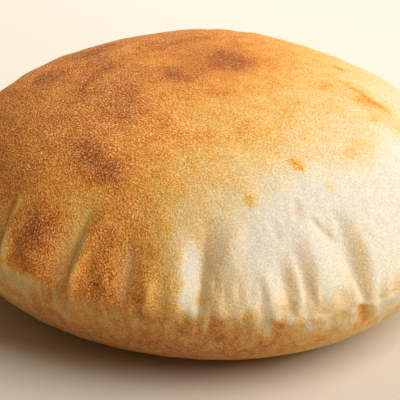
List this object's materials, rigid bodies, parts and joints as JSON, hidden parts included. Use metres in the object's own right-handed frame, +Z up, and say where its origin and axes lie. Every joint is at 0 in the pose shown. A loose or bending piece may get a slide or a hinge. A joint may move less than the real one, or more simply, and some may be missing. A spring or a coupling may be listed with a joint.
{
  "type": "pita bread",
  "caption": "Round puffed pita bread with a browned dome, skin gathered in folds at its edge and a flat foot that it rests on.",
  "frame": {"origin": "bottom centre of the bread's bounding box, on the flat foot that it rests on", "axes": "+Z up through the crown, -Y towards the front, where the edge folds are finest, +X to the front's right, under the pale side"},
  "size_m": [0.1748, 0.1664, 0.0802],
  "materials": {
    "crust": "matt baked crust, golden brown on top and pale cream at one side of the front"
  },
  "bodies": {
    "root": {"pita_bread": "crust"}
  },
  "joints": []
}
